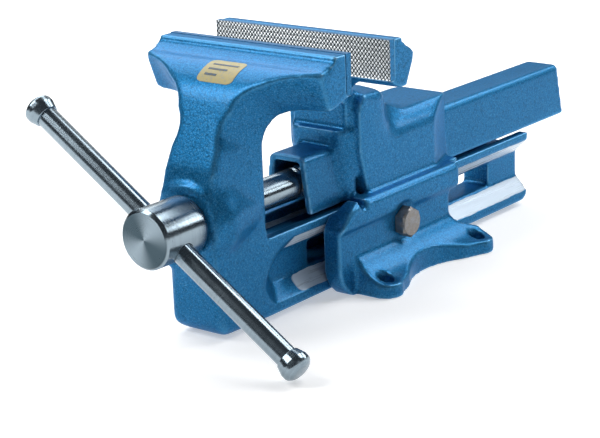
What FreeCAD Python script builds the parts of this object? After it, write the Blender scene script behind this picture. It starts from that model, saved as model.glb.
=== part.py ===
import FreeCAD, Part
import math
import os

import Sketcher

# Bench vise with a front slide.
# X runs along the jaws, Y from the spindle head to the rear, Z up.
# The origin is the centre of the mounting holes on the underside of the base.

os.makedirs("parts", exist_ok=True)
doc = FreeCAD.newDocument("bench_vise")


# ---------------------------------------------------------------- driving dimensions (mm, degrees)

SIZES = {
    # jaws
    "jaw_half": 60.0,
    "jaw_top": 148.5,
    "face_rear": -61.0,
    "face_front": -95.6,
    "plate_thick": 4.0,
    "plate_low": 126.5,
    "plate_gap": 0.1,
    "plate_pin_x": 35.0,
    "plate_pin_z": 138.0,
    "plate_pin_radius": 3.0,
    "plate_pin_length": 10.0,
    "pin_chamfer": 0.4,
    "lip_depth": 12.9,
    "lip_slant": 0.6,
    "lip_height": 3.0,
    "wing_low": 120.9,
    "wing_toe": 1.0,
    # fixed jaw, seen from the side
    "rear_lip_depth": 10.8,
    "rear_bulge_y": -37.9,
    "rear_bulge_z": 138.1,
    "rear_under_y": -45.0,
    "rear_heel_y": -51.6,
    "neck_side": 19.0,
    "neck_front": -46.5,
    "neck_turn_z": 111.0,
    "neck_arch": 15.0,
    "neck_arch_sweep": 21.0,
    "haunch_deep": 5.0,
    "haunch_low": 7.0,
    "haunch_high": 9.0,
    "heel_lift": 0.4,
    "bulge_ease": 1.0,
    "bulge_drop": 4.0,
    "bulge_turn": 3.0,
    "rear_lip_slant": 1.3,
    "facet_rise": 3.0,
    "facet_sweep": 26.0,
    "ledge_half": 21.0,
    "ledge_low": 82.5,
    "ledge_high": 91.0,
    "pillar_round": 9.0,
    "pillar_half": 20.5,
    "pillar_front": -51.0,
    "pillar_turn_z": 78.0,
    # anvil block
    "block_half": 25.0,
    "block_low": 50.0,
    "block_foot_y": -35.2,
    "block_front": -42.0,
    "block_chest_z": 78.0,
    "shoulder_z": 110.0,
    "shoulder_front": -35.0,
    "shoulder_round": 9.0,
    "shoulder_back": -18.0,
    "sweep_top_y": -12.7,
    "sweep_top_z": 107.0,
    "shoulder_sweep": 32.6,
    "anvil_front": 15.0,
    "anvil_top": 92.0,
    "anvil_half": 18.0,
    "anvil_back": 55.0,
    "facet_front": -14.0,
    "facet_low": 79.5,
    "taper_start": 31.0,
    # spindle line
    "axis_high": 64.0,
    "screw_radius": 9.0,
    "shank_radius": 8.75,
    "screw_start": -180.0,
    "thread_start": -76.5,
    "screw_end": 144.0,
    "screw_chamfer": 2.0,
    "head_radius": 16.25,
    "head_front": -194.3,
    "head_back": -163.8,
    "head_chamfer": 1.2,
    "bar_hole_length": 65.0,
    "pin_inset": 0.5,
    "head_pin_y": -168.0,
    "head_pin_radius": 2.0,
    "boss_face": -162.2,
    "boss_radius": 21.2,
    "boss_swell": 24.6,
    "boss_swell_y": -150.0,
    "boss_end_y": -119.0,
    "washer_radius": 15.0,
    "washer_thick": 1.3,
    "run_gap": 0.1,
    "turn_gap": 0.35,
    "collar_radius": 13.0,
    "collar_front": -126.6,
    "collar_back": -118.6,
    "collar_pin_radius": 1.5,
    # handle
    "bar_radius": 6.0,
    "bar_y": -179.5,
    "bar_tilt": 33.3,
    "knob_centre": 99.2,
    "knob_radius": 8.4,
    "knob_length": 11.0,
    "knob_round": 3.0,
    "knob_neck_round": 2.14,
    "knob_step": 0.3,
    "knob_wall": 4.0,
    # front jaw, seen from the side
    "brow_y": -117.0,
    "brow_z": 142.2,
    "brow_sweep": 27.0,
    "panel_top_y": -142.2,
    "panel_top_z": 126.0,
    "panel_low_y": -157.6,
    "panel_low_z": 92.9,
    "leg_neck_y": -161.0,
    "leg_neck_high": 80.0,
    "leg_neck_low": 40.0,
    "leg_front": -158.0,
    "leg_knee": 28.9,
    "leg_low": 1.0,
    "leg_round": 11.0,
    "leg_corner": 4.5,
    "leg_corner_high": 38.0,
    "foot_round": 9.0,
    "foot_fade": 1.0,
    "neck_back": -118.0,
    "neck_crook": 8.0,
    "wing_heel_y": -109.8,
    # front jaw, seen from the front
    "neck_half": 18.4,
    "arch_foot_z": 76.0,
    "arch_low_z": 96.0,
    "arch_mid_x": 24.2,
    "arch_mid_z": 108.4,
    "arch_high_x": 38.6,
    "arch_high_z": 116.7,
    "arch_round": 22.0,
    "arch_sweep": 36.0,
    "arch_y": -114.0,
    "panel_cut_y": -164.0,
    "panel_half": 15.4,
    "panel_low_cut": 106.1,
    "panel_mid_x": 14.4,
    "panel_mid_cut": 129.2,
    "panel_high_x": 19.4,
    "panel_high_cut": 159.0,
    "panel_tip_cut": 259.0,
    "wing_taper_x": 30.0,
    "wing_taper_y": -136.0,
    "wing_tip_y": -119.5,
    # slide
    "slide_half": 18.4,
    "slide_web": 9.4,
    "slide_low": 3.1,
    "slide_top": 47.0,
    "low_bevel": 8.6,
    "high_bevel": 42.6,
    "channel_half": 11.5,
    "channel_floor": 39.5,
    "slide_end": 146.0,
    "slide_end_round": 8.0,
    "groove_top_y": -92.0,
    "groove_nose_y": -121.5,
    "groove_nose_z": 22.0,
    "groove_heel_y": -112.0,
    "groove_top_sweep": 30.0,
    "groove_heel_sweep": 16.0,
    "groove_floor_nose": 12.5,
    "nose_rise": 0.25,
    "heel_share": 0.5,
    "slide_root": 6.0,
    "window_front": -73.0,
    "window_back": 113.0,
    "window_gap": 1.0,
    "slide_gap": 0.35,
    # housing
    "housing_top": 81.5,
    "housing_low": 49.2,
    "housing_top_half": 12.0,
    "housing_low_half": 16.5,
    "housing_round": 4.0,
    "housing_lean": 0.5,
    "housing_wall": 3.6,
    "housing_front": -77.3,
    "housing_back": 193.0,
    # guide block and base
    "guide_front": -70.5,
    "guide_back": 38.7,
    "guide_half": 30.0,
    "guide_high": 53.0,
    "shoulder_low": 39.0,
    "shoulder_deep": 18.0,
    "shoulder_bow": 26.0,
    "mouth_back": -57.0,
    "throat_half": 21.5,
    "throat_back": -35.0,
    "rib_half": 32.5,
    "rib_low": 37.0,
    "rib_slant": 3.0,
    "rib_reach": 46.0,
    "heel_y": -57.0,
    "heel_sweep": 20.0,
    "heel_high": 17.0,
    "base_thick": 8.0,
    "ear_x": 43.5,
    "ear_y": 46.5,
    "ear_radius": 10.0,
    "ear_hole_radius": 4.75,
    "ear_meet_x": 7.4,
    "ear_meet_y": 6.7,
    "ear_step": 6.0,
    "flare_x": 3.0,
    "flare_y": 6.0,
    "scoop_radius": 50.7,
    "scoop_start": 29.0,
    "scoop_x": 47.6,
    "web_high": 23.0,
    "web_foot": 49.0,
    "web_sweep": 26.0,
    # nut
    "nut_front": -40.0,
    "nut_back": 5.0,
    "nut_top": 76.5,
    "nut_low": 50.2,
    "nut_half_top": 8.4,
    "nut_half_low": 12.0,
    "nut_dowel_z": 52.2,
    "nut_dowel_radius": 1.6,
    "nut_dowel_half": 20.0,
    "nut_dowel_inset": 8.0,
    # cuts and overlaps
    "past": 1.0,
    "hair": 0.1,
    "sink": 2.0,
    "bevel_share": 0.414,
    # gib and its bolt
    "gib_low": 12.0,
    "gib_high": 38.0,
    "gib_back": 22.5,
    "gib_front": -55.0,
    "gib_rear": 30.0,
    "bolt_y": -10.0,
    "bolt_z": 31.0,
    "bolt_radius": 5.0,
    "bolt_flats": 16.0,
    "bolt_head": 6.4,
    "bolt_seat": 30.35,
    "seat_face": 30.0,
    "seat_radius": 12.0,
}

sizes = doc.addObject("Spreadsheet::Sheet", "Sizes")
for row, (alias, value) in enumerate(SIZES.items(), start=1):
    place = "A%d" % row
    sizes.set(place, str(value))
    sizes.setAlias(place, alias)
doc.recompute()


def formula(text):
    """Turns a formula of plain size names into one that names the sheet."""
    words = []
    word = ""
    for letter in text + " ":
        if letter.isalnum() or letter == "_":
            word += letter
            continue
        words.append("Sizes." + word if word in SIZES else word)
        words.append(letter)
        word = ""
    return "".join(words).strip()


def number(text):
    """The present value of a formula of size names."""
    return float(sizes.evalExpression(formula(text)))


def bind(item, name, text):
    """Binds a property to a formula of size names."""
    item.setExpression(name, formula(text))


# ---------------------------------------------------------------- sketches and features


def new_body(name):
    body = doc.addObject("PartDesign::Body", name)
    body.Label = name
    return body


def new_sketch(body, name, role, shift="0"):
    """A sketch on one of the body's own planes, moved along the plane's normal."""
    plane = [item for item in body.Origin.OriginFeatures if item.Role == role][0]
    sketch = body.newObject("Sketcher::SketchObject", name)
    sketch.AttachmentSupport = (plane, [""])
    sketch.MapMode = "FlatFace"
    bind(sketch, "AttachmentOffset.Base.z", shift)
    return sketch


def arc_between(start, end, radius, side):
    """The circle's arc from start to end, bulging away from a centre on the given side."""
    chord = end - start
    half = chord.Length / 2.0
    along = chord.normalize()
    across = FreeCAD.Vector(-along.y, along.x, 0.0) * side
    reach = math.sqrt(max(radius * radius - half * half, 0.0))
    centre = start + along * half + across * reach
    first = math.atan2(start.y - centre.y, start.x - centre.x)
    last = math.atan2(end.y - centre.y, end.x - centre.x)
    circle = Part.Circle(centre, FreeCAD.Vector(0, 0, 1), radius)
    if side > 0:
        return Part.ArcOfCircle(circle, first, last)
    return Part.ArcOfCircle(circle, last, first)


def add_outline(sketch, points):
    """A closed outline. A point is (x, y), or (x, y, radius, side) where an arc starts."""
    count = len(points)
    values = []
    for point in points:
        values.append(FreeCAD.Vector(number(point[0]), number(point[1]), 0.0))
    starts = []
    ends = []
    for index, point in enumerate(points):
        start = FreeCAD.Vector(values[index])
        end = FreeCAD.Vector(values[(index + 1) % count])
        if len(point) == 2:
            geometry = sketch.addGeometry(Part.LineSegment(start, end), False)
            starts.append((geometry, 1))
            ends.append((geometry, 2))
            continue
        side = point[3]
        geometry = sketch.addGeometry(arc_between(start, end, number(point[2]), side), False)
        order = (1, 2) if side > 0 else (2, 1)
        starts.append((geometry, order[0]))
        ends.append((geometry, order[1]))
    for index in range(count):
        following = starts[(index + 1) % count]
        sketch.addConstraint(Sketcher.Constraint("Coincident", *ends[index], *following))
    for index, point in enumerate(points):
        place = starts[index]
        for kind, text in (("DistanceX", point[0]), ("DistanceY", point[1])):
            made = sketch.addConstraint(Sketcher.Constraint(kind, *place, number(text)))
            bind(sketch, "Constraints[%d]" % made, text)
        if len(point) == 4:
            made = sketch.addConstraint(Sketcher.Constraint("Radius", place[0], number(point[2])))
            bind(sketch, "Constraints[%d]" % made, point[2])


def add_circle(sketch, x, y, radius):
    centre = FreeCAD.Vector(number(x), number(y), 0.0)
    circle = Part.Circle(centre, FreeCAD.Vector(0, 0, 1), number(radius))
    geometry = sketch.addGeometry(circle, False)
    for kind, text in (("DistanceX", x), ("DistanceY", y)):
        made = sketch.addConstraint(Sketcher.Constraint(kind, geometry, 3, number(text)))
        bind(sketch, "Constraints[%d]" % made, text)
    made = sketch.addConstraint(Sketcher.Constraint("Radius", geometry, number(radius)))
    bind(sketch, "Constraints[%d]" % made, radius)


def mirrored(points):
    """A right-hand outline and its left-hand copy, as one closed outline from bottom to top."""
    left = []
    for index in range(len(points) - 1, -1, -1):
        x, y = points[index][0], points[index][1]
        entry = ["-(%s)" % x, y]
        if index > 0 and len(points[index - 1]) == 4:
            entry += [points[index - 1][2], points[index - 1][3]]
        left.append(tuple(entry))
    return list(points) + left


def check_step(body, before, grows, name):
    """A feature has to change the volume the way it is meant to."""
    after = body.Shape.Volume
    changed = after - before if grows else before - after
    if changed <= 0.01:
        raise RuntimeError("%s: %s changed nothing" % (body.Label, name))


def extrude(body, name, role, outlines, length, shift="0", cut=False, both=False, flip=False,
            circles=()):
    """A Pad or Pocket from outlines, with its length bound to the sheet."""
    before = body.Shape.Volume if body.Tip else 0.0
    sketch = new_sketch(body, name + "_sketch", role, shift)
    for points in outlines:
        add_outline(sketch, points)
    for circle in circles:
        add_circle(sketch, *circle)
    feature = body.newObject("PartDesign::Pocket" if cut else "PartDesign::Pad", name)
    feature.Profile = sketch
    feature.Type = "Length"
    bind(feature, "Length", length)
    if both:
        feature.SideType = "Symmetric"
    feature.Reversed = flip
    sketch.Visibility = False
    doc.recompute()
    check_step(body, before, not cut, name)
    return feature


def round_edges(body, name, radius, wanted=None, chamfer=False):
    """Fillets or chamfers the wanted edges, or every closed edge when none are named."""
    base = body.Tip
    names = []
    for index, edge in enumerate(base.Shape.Edges, start=1):
        if wanted(edge) if wanted else edge.isClosed() and len(edge.Vertexes) == 1:
            names.append("Edge%d" % index)
    if not names:
        raise RuntimeError("%s: no edge for %s" % (body.Label, name))
    kind = "PartDesign::Chamfer" if chamfer else "PartDesign::Fillet"
    feature = body.newObject(kind, name)
    feature.Base = (base, names)
    bind(feature, "Size" if chamfer else "Radius", radius)
    doc.recompute()
    return feature


def along_y(body, name, outlines, front, back, cut=False, circles=()):
    """Extrudes XZ outlines between two Y positions."""
    shift = "-(%s)" % (front if cut else back)
    length = "(%s)-(%s)" % (back, front)
    return extrude(body, name, "XZ_Plane", outlines, length, shift, cut, circles=circles)


def along_z(body, name, outlines, low, high, cut=False, circles=()):
    """Extrudes XY outlines between two heights."""
    shift = high if cut else low
    length = "(%s)-(%s)" % (high, low)
    return extrude(body, name, "XY_Plane", outlines, length, shift, cut, circles=circles)


def across_x(body, name, outlines, half, cut=False, circles=()):
    """Extrudes YZ outlines the same way to both sides of the middle plane."""
    return extrude(body, name, "YZ_Plane", outlines, "2*(%s)" % half, "0", cut, both=True,
                   circles=circles)


def from_x(body, name, outlines, low, high, cut=False, circles=()):
    """Extrudes YZ outlines between two X positions."""
    shift = high if cut else low
    length = "(%s)-(%s)" % (high, low)
    return extrude(body, name, "YZ_Plane", outlines, length, shift, cut, circles=circles)


def rectangle(left, low, right, high):
    return [(left, low), (right, low), (right, high), (left, high)]


# ---------------------------------------------------------------- fixed body


def make_fixed_jaw_body():
    body = new_body("fixed_jaw_body")
    wall = [("guide_half", "0"), ("guide_half", "guide_high")]
    along_y(body, "guide_block", [mirrored(wall)], "guide_front", "guide_back")
    throat = rectangle("-throat_half", "slide_top+slide_gap", "throat_half", "guide_high+past")
    along_y(body, "front_throat", [throat], "guide_front-past", "throat_back", cut=True)
    rib = [("block_half", "rib_low"), ("guide_half", "rib_low"),
           ("rib_half", "rib_low+rib_slant"), ("rib_half", "guide_high-rib_slant"),
           ("guide_half", "guide_high"), ("block_half", "guide_high")]
    left_rib = [("-(%s)" % x, z) for x, z in reversed(rib)]
    along_y(body, "guide_ribs", [rib, left_rib], "guide_front", "rib_reach")
    brow = [("guide_front-past", "shoulder_low"), ("guide_front", "shoulder_low", "shoulder_bow", -1),
            ("guide_front+shoulder_deep", "guide_high"),
            ("guide_front+shoulder_deep", "guide_high+past"), ("guide_front-past", "guide_high+past")]
    across_x(body, "front_shoulders", [brow], "jaw_half", cut=True)
    add_block(body)
    add_housing(body)
    add_rear_jaw(body)
    add_base(body)
    cut_guide(body)
    cut_anvil(body)
    cut_holes(body)
    return body


def add_block(body):
    """The tall block behind the rear jaw, with a shoulder that sweeps down to the anvil flat."""
    block = [("block_foot_y", "block_low"), ("anvil_back", "block_low"),
             ("anvil_back", "anvil_top"), ("anvil_front", "anvil_top", "shoulder_sweep", -1),
             ("sweep_top_y", "sweep_top_z"), ("shoulder_back", "shoulder_z"),
             ("shoulder_front", "shoulder_z", "shoulder_round", 1),
             ("block_front", "shoulder_z-shoulder_round"), ("block_front", "block_chest_z")]
    across_x(body, "anvil_block", [block], "block_half")


def add_housing(body):
    """The long cover over the spindle, with its pillar and ledge under the rear jaw."""
    housing = [("housing_low_half", "housing_low"),
               ("housing_top_half+housing_lean", "housing_top-housing_round", "housing_round", 1),
               ("housing_top_half-housing_round", "housing_top")]
    along_y(body, "housing", [mirrored(housing)], "housing_front", "housing_back")
    along_z(body, "pillar", [rounded_front("pillar_half")], "housing_low", "ledge_low")
    along_z(body, "ledge", [rounded_front("ledge_half")], "ledge_low", "ledge_high")
    lean = [("pillar_front-past", "housing_low-past"), ("neck_front", "housing_low-past"),
            ("neck_front", "housing_low"), ("pillar_front", "pillar_turn_z"),
            ("pillar_front-past", "pillar_turn_z")]
    for name, low, high in (("right_lean", "housing_low_half", "jaw_half"),
                            ("left_lean", "-jaw_half", "-housing_low_half")):
        from_x(body, name, [lean], low, high, cut=True)


def rounded_front(half):
    """A plan outline with rounded front corners, reaching back into the anvil block."""
    return [("%s-pillar_round" % half, "pillar_front", "pillar_round", 1),
            (half, "pillar_front+pillar_round"), (half, "block_front+sink"),
            ("-(%s)" % half, "block_front+sink"),
            ("-(%s)" % half, "pillar_front+pillar_round", "pillar_round", 1),
            ("-(%s)+pillar_round" % half, "pillar_front")]


def add_rear_jaw(body):
    neck = [("neck_front", "ledge_high-sink"), ("shoulder_back", "ledge_high-sink"),
            ("shoulder_back", "shoulder_z", "neck_arch", -1),
            ("rear_under_y+haunch_deep", "wing_low+haunch_low"),
            ("rear_under_y", "wing_low+haunch_high"),
            ("rear_heel_y", "wing_low+sink"), ("rear_heel_y", "wing_low+heel_lift"),
            ("neck_front", "neck_turn_z")]
    across_x(body, "rear_neck", [neck], "neck_side")
    wing = [("face_rear+plate_thick", "plate_low-plate_gap"),
            ("face_rear", "plate_low-plate_gap"), ("face_rear", "plate_low-wing_toe"),
            ("rear_heel_y", "wing_low"), ("rear_under_y", "wing_low"),
            ("rear_bulge_y-bulge_ease", "rear_bulge_z-bulge_drop"), ("rear_bulge_y", "rear_bulge_z"),
            ("rear_bulge_y-bulge_turn", "rear_bulge_z+bulge_turn"),
            ("face_rear+rear_lip_depth+rear_lip_slant", "jaw_top-lip_height"),
            ("face_rear+rear_lip_depth", "jaw_top"), ("face_rear+plate_thick", "jaw_top")]
    across_x(body, "rear_wing", [wing], "jaw_half")
    gusset = [("neck_side-sink", "wing_low-neck_arch"), ("neck_side", "wing_low-neck_arch",
                                                       "neck_arch_sweep", -1),
              ("neck_side+neck_arch", "wing_low+past"), ("neck_side-sink", "wing_low+past")]
    left = [("-neck_side+sink", "wing_low-neck_arch"), ("-neck_side+sink", "wing_low+past"),
            ("-neck_side-neck_arch", "wing_low+past", "neck_arch_sweep", -1),
            ("-neck_side", "wing_low-neck_arch")]
    along_y(body, "neck_arches", [gusset, left], "rear_heel_y+past", "rear_under_y+past")


def add_base(body):
    """The flange: a plan outline whose top falls from the guide block to four flat ears."""
    end = "ear_y+ear_radius"
    side = "ear_x+ear_radius"
    right = [("0", "-(%s)" % end), ("ear_x", "-(%s)" % end, "ear_radius", 1),
             (side, "-ear_y", "ear_radius", 1),
             ("ear_x+ear_meet_x", "-ear_y+ear_meet_y"),
             ("scoop_x", "-scoop_start", "scoop_radius", -1), ("scoop_x", "scoop_start"),
             ("ear_x+ear_meet_x", "ear_y-ear_meet_y", "ear_radius", 1),
             (side, "ear_y", "ear_radius", 1), ("ear_x", end),
             ("ear_x-ear_step", end), ("guide_half+flare_x", "guide_back+flare_y"),
             ("guide_half", "guide_back"), ("0", "guide_back")]
    left = []
    for index in range(len(right) - 2, 0, -1):
        entry = ["-(%s)" % right[index][0], right[index][1]]
        if len(right[index - 1]) == 4:
            entry += [right[index - 1][2], right[index - 1][3]]
        left.append(tuple(entry))
    along_z(body, "flange", [right + left], "0", "web_high")
    slope = [("guide_half", "web_high", "web_sweep", 1), ("web_foot", "base_thick"),
             ("jaw_half", "base_thick"), ("jaw_half", "web_high+past"), ("guide_half", "web_high+past")]
    other = [("-guide_half", "web_high+past"), ("-jaw_half", "web_high+past"),
             ("-jaw_half", "base_thick"), ("-web_foot", "base_thick", "web_sweep", 1),
             ("-guide_half", "web_high")]
    along_y(body, "flange_slopes", [slope, other], "-jaw_half", "jaw_half", cut=True)


def slide_channel(gap):
    """The right half of the slide's section, grown by a gap, from bottom to top."""
    slant = "%s*bevel_share" % gap
    return [("slide_half+%s" % gap, "-past"),
            ("slide_half+%s" % gap, "low_bevel+%s" % slant),
            ("slide_web+%s" % gap, "low_bevel+slide_half-slide_web+%s" % slant),
            ("slide_web+%s" % gap, "high_bevel-slide_half+slide_web-%s" % slant),
            ("slide_half+%s" % gap, "high_bevel-%s" % slant),
            ("slide_half+%s" % gap, "slide_top+%s" % gap)]


def cut_guide(body):
    inner = [("housing_low_half-housing_wall", "slide_top-past"),
             ("housing_top_half-housing_wall", "housing_top-housing_wall")]
    along_y(body, "housing_hollow", [mirrored(inner)], "housing_front-past",
            "housing_back-housing_wall", cut=True)
    along_y(body, "slide_way", [mirrored(slide_channel("slide_gap"))], "-jaw_half-jaw_half",
            "jaw_half", cut=True)
    mouth = rectangle("-slide_half-slide_gap", "-past", "slide_half+slide_gap",
                      "slide_top+slide_gap")
    along_y(body, "guide_mouth", [mouth], "guide_front-past", "mouth_back", cut=True)
    heel = [("guide_front-past", "-past"), ("heel_y", "-past", "heel_sweep", -1),
            ("guide_front", "heel_high"), ("guide_front-past", "heel_high")]
    across_x(body, "front_heel", [heel], "jaw_half", cut=True)


def cut_anvil(body):
    facet = [("anvil_half", "anvil_top", "facet_sweep", -1), ("block_half", "facet_low"),
             ("block_half+sink", "facet_low"), ("block_half+sink", "shoulder_z+facet_rise"),
             ("anvil_half", "shoulder_z+facet_rise")]
    along_y(body, "anvil_facets", [facet, flipped(facet)], "facet_front", "anvil_back+past", cut=True)
    taper = [("block_half+past", "taper_start"), ("block_half+past", "anvil_back+past"),
             ("housing_low_half", "anvil_back+past"), ("housing_low_half", "anvil_back"),
             ("block_half", "taper_start")]
    other = [("-(%s)" % x, y) for x, y in reversed(taper)]
    along_z(body, "rear_tapers", [taper, other], "guide_high+hair", "anvil_top+past", cut=True)


def cut_holes(body):
    ears = [(x, y, "ear_hole_radius") for x in ("ear_x", "-ear_x") for y in ("ear_y", "-ear_y")]
    along_z(body, "ear_holes", [], "-past", "web_high+past", cut=True, circles=ears)
    from_x(body, "bolt_seat_face", [], "seat_face", "jaw_half", cut=True,
           circles=[("bolt_y", "bolt_z", "seat_radius")])
    from_x(body, "bolt_hole", [], "gib_back-past", "jaw_half", cut=True,
           circles=[("bolt_y", "bolt_z", "bolt_radius+run_gap")])
    slot = rectangle("slide_web", "gib_low", "gib_back", "gib_high")
    along_y(body, "gib_pocket", [slot], "gib_front", "gib_rear", cut=True)
    along_y(body, "plate_pin_holes", [], "face_rear", "face_rear+plate_pin_length", cut=True,
            circles=pin_places("plate_pin_radius"))
    across_x(body, "nut_dowel_holes", [], "nut_dowel_half", cut=True, circles=dowel_places())


def pin_places(radius):
    return [(x, "plate_pin_z", radius) for x in ("plate_pin_x", "-plate_pin_x")]


def dowel_places():
    return [(y, "nut_dowel_z", "nut_dowel_radius")
            for y in ("nut_front+nut_dowel_inset", "nut_back-nut_dowel_inset")]


def make_plate(name, front, back, pin_front, pin_back):
    """A jaw plate between two Y positions, with blind holes for its two pins."""
    body = new_body(name)
    slab = rectangle("-jaw_half", "plate_low", "jaw_half", "jaw_top")
    along_y(body, "plate", [slab], front, back)
    along_y(body, "pin_holes", [], pin_front, pin_back, cut=True,
            circles=pin_places("plate_pin_radius"))
    return body


def make_plate_pin(name, x, front, back):
    body = new_body(name)
    along_y(body, "pin", [], front, back, circles=[(x, "plate_pin_z", "plate_pin_radius")])
    round_edges(body, "ends", "pin_chamfer", chamfer=True)
    return body


def make_nut():
    body = new_body("spindle_nut")
    section = [("nut_half_low", "nut_low"), ("nut_half_top", "nut_top")]
    along_y(body, "nut_block", [mirrored(section)], "nut_front", "nut_back")
    along_y(body, "nut_bore", [], "nut_front-past", "nut_back+past", cut=True,
            circles=[("0", "axis_high", "screw_radius+turn_gap")])
    across_x(body, "dowel_holes", [], "nut_dowel_half", cut=True, circles=dowel_places())
    return body


def make_dowel(name, y):
    body = new_body(name)
    across_x(body, "dowel", [], "nut_dowel_half", circles=[(y, "nut_dowel_z", "nut_dowel_radius")])
    round_edges(body, "ends", "pin_chamfer", chamfer=True)
    return body


def make_gib():
    """A strip in the guide's wall whose inner face follows the slide's groove."""
    body = new_body("guide_gib")
    slant = "slide_gap*bevel_share"
    section = [("gib_back", "gib_low"), ("gib_back", "gib_high"),
               ("gib_high-high_bevel+slide_half+slide_gap+%s" % slant, "gib_high"),
               ("slide_web+slide_gap", "high_bevel-slide_half+slide_web-%s" % slant),
               ("slide_web+slide_gap", "low_bevel+slide_half-slide_web+%s" % slant),
               ("slide_half+low_bevel+slide_gap+%s-gib_low" % slant, "gib_low")]
    along_y(body, "gib_strip", [section], "gib_front", "gib_rear")
    return body


def make_gib_bolt():
    body = new_body("gib_bolt")
    from_x(body, "shank", [], "gib_back+turn_gap", "bolt_seat+past",
           circles=[("bolt_y", "bolt_z", "bolt_radius")])
    hexagon = []
    for step in range(6):
        angle = 60 * step + 30
        hexagon.append(("bolt_y+bolt_flats/sqrt(3)*cos(%d deg)" % angle,
                        "bolt_z+bolt_flats/sqrt(3)*sin(%d deg)" % angle))
    from_x(body, "hex_head", [hexagon], "bolt_seat", "bolt_seat+bolt_head")
    return body


# ---------------------------------------------------------------- moving jaw


def make_front_jaw():
    """The moving jaw in one casting with its slide."""
    body = new_body("front_jaw")
    seat = "face_front-plate_thick"
    side = [("face_front", "plate_low-plate_gap"), (seat, "plate_low-plate_gap"),
            (seat, "jaw_top"), ("face_front-lip_depth", "jaw_top"),
            ("face_front-lip_depth-lip_slant", "jaw_top-lip_height"),
            ("brow_y", "brow_z", "brow_sweep", 1), ("panel_top_y", "panel_top_z"),
            ("panel_low_y", "panel_low_z"), ("leg_neck_y", "leg_neck_high"),
            ("leg_neck_y", "leg_neck_low"), ("leg_front", "leg_knee"),
            ("leg_front", "leg_low+leg_round", "leg_round", 1),
            ("leg_front+leg_round", "leg_low"), ("neck_back", "slide_low"),
            ("neck_back", "wing_low-neck_crook", "neck_crook", -1),
            ("wing_heel_y", "wing_low"), ("face_front", "plate_low-wing_toe")]
    across_x(body, "side_shape", [side], "jaw_half")
    cut_wings(body)
    swell = [("boss_face", "axis_high"), ("boss_face", "axis_high+boss_radius"),
             ("boss_swell_y", "axis_high+boss_swell"), ("boss_end_y", "axis_high+neck_half"),
             ("neck_back", "axis_high+neck_half"), ("neck_back", "axis_high")]
    turn(body, "boss", swell)
    round_foot(body)
    add_slide(body)
    cut_front_jaw(body)
    return body


def wing_cut(body, name, side):
    """Hollows one side of the jaw from the T outline at the back to the narrow front panel."""
    rear = [("neck_half", "-past"), ("neck_half", "arch_foot_z"),
            ("neck_half", "arch_low_z", "arch_round", -1),
            ("arch_mid_x", "arch_mid_z", "arch_sweep", -1), ("arch_high_x", "arch_high_z"),
            ("jaw_half+past", "wing_low"), ("jaw_half+past", "-past")]
    front = [("neck_half", "-past"), ("neck_half", "arch_foot_z"),
             ("panel_half", "panel_low_cut", "arch_round", -1),
             ("panel_mid_x", "panel_mid_cut", "arch_sweep", -1),
             ("panel_high_x", "panel_high_cut"), ("jaw_half+past", "panel_tip_cut"),
             ("jaw_half+past", "-past")]
    if side < 0:
        rear_section, front_section = flipped(rear), flipped(front)
    else:
        rear_section, front_section = rear, front
    loft_cut(body, name, "XZ_Plane", (("rear", rear_section, "-(arch_y)"),
                                      ("front", front_section, "-(panel_cut_y)")))
    return rear


def loft_cut(body, name, role, sections):
    """Cuts the straight-sided hollow between two outlines on parallel planes."""
    sketches = []
    for part, outline, shift in sections:
        sketch = new_sketch(body, "%s_%s" % (name, part), role, shift)
        add_outline(sketch, outline)
        sketch.Visibility = False
        sketches.append(sketch)
    before = body.Shape.Volume
    loft = body.newObject("PartDesign::SubtractiveLoft", name)
    loft.Profile = sketches[0]
    loft.Sections = [sketches[1]]
    loft.Ruled = True
    doc.recompute()
    check_step(body, before, False, name)


def flipped(points):
    """The left-hand copy of a closed outline, in the same turning direction."""
    left = []
    count = len(points)
    for index in range(count - 1, -1, -1):
        x, y = points[index][0], points[index][1]
        entry = ["-(%s)" % x, y]
        if len(points[index - 1]) == 4:
            entry += [points[index - 1][2], points[index - 1][3]]
        left.append(tuple(entry))
    return left


def cut_wings(body):
    right = wing_cut(body, "right_hollow", 1)
    wing_cut(body, "left_hollow", -1)
    along_y(body, "rear_arches", [right, flipped(right)], "arch_y-hair", "face_front+past", cut=True)
    tip = [("wing_taper_x", "wing_taper_y"), ("wing_taper_x", "panel_cut_y"),
           ("jaw_half+past", "panel_cut_y"), ("jaw_half+past", "wing_tip_y")]
    along_z(body, "wing_tapers", [tip, flipped(tip)], "arch_low_z", "jaw_top+past", cut=True)


def add_slide(body):
    bar = rectangle("-slide_half", "slide_low", "slide_half", "slide_top")
    along_y(body, "slide_bar", [bar], "neck_back-slide_root", "slide_end")
    for name, side in (("right_groove", 1), ("left_groove", -1)):
        sections = []
        levels = (("rim", "slide_half", "0"), ("floor", "slide_web", "slide_half-slide_web"))
        for level, x, inset in levels:
            nose = "groove_floor_nose" if level == "floor" else "0"
            outline = [("slide_end+past", "low_bevel+%s" % inset),
                       ("slide_end+past", "high_bevel-(%s)" % inset),
                       ("groove_top_y", "high_bevel-(%s)" % inset, "groove_top_sweep-%s" % nose, 1),
                       ("groove_nose_y+%s" % nose, "groove_nose_z+(%s)*nose_rise" % inset,
                        "groove_heel_sweep-%s*heel_share" % nose, 1),
                       ("groove_heel_y+%s*heel_share" % nose, "low_bevel+%s" % inset)]
            sections.append((level, outline, x if side > 0 else "-(%s)" % x))
        loft_cut(body, name, "YZ_Plane", sections)


def foot_corner(radius, low):
    """The waste outside one rounded lower corner of the leg."""
    return [("neck_half-%s" % radius, low, radius, 1),
            ("neck_half", "%s+%s" % (low, radius)), ("neck_half+past", "%s+%s" % (low, radius)),
            ("neck_half+past", "%s-sink" % low), ("neck_half-%s" % radius, "%s-sink" % low)]


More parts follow.
